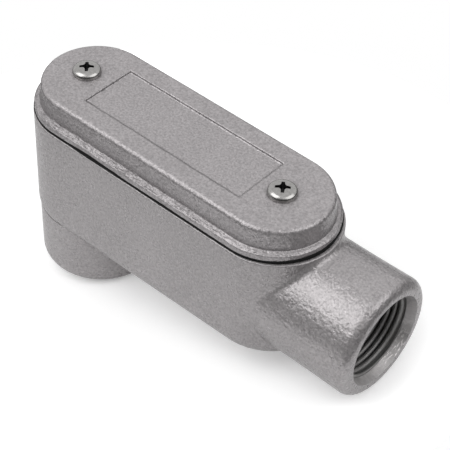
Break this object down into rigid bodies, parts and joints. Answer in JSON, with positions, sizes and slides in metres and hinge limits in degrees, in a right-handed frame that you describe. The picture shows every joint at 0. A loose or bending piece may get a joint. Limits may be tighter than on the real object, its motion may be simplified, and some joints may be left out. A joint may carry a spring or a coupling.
{
  "type": "conduit body",
  "caption": "Cast elbow conduit body: a long box with rounded ends, a threaded hub at one end and one at the back, and a domed cover with a gasket held by screws.",
  "frame": {"origin": "centre of the back hub's end face", "axes": "+X along the long box towards the end hub, +Z away from the back hub and out through the cover, +Y across the box"},
  "size_m": [0.1299, 0.0392, 0.0702],
  "materials": {
    "casting": "matte grey finish over a cast skin",
    "cover_casting": "matte grey finish over a cast skin",
    "gasket_rubber": "matte black sheet rubber",
    "screw_steel": "bright zinc plate"
  },
  "bodies": {
    "body": {"body": "casting"},
    "cover": {"cover": "cover_casting", "gasket": "gasket_rubber"},
    "cover_screw_left": {"cover_screw_left": "screw_steel"},
    "cover_screw_right": {"cover_screw_right": "screw_steel"}
  },
  "joints": [
    {"name": "cover_lift", "type": "slide", "parent": "body", "child": "cover", "axis": [0, 0, 1], "range_m": [0, 0.009]},
    {"name": "left_screw_turn", "type": "hinge", "parent": "cover", "child": "cover_screw_left", "pos_m": [-0.0041, 0, 0.0678], "axis": [0, 0, 1], "range_deg": [0, 4090]},
    {"name": "right_screw_turn", "type": "hinge", "parent": "cover", "child": "cover_screw_right", "pos_m": [0.0713, 0, 0.0678], "axis": [0, 0, 1], "range_deg": [0, 4090]}
  ],
  "couplings": [
    {"joint": "left_screw_turn", "follows": "cover_lift", "rad_per_m": 7915.8},
    {"joint": "right_screw_turn", "follows": "cover_lift", "rad_per_m": 7915.8}
  ]
}
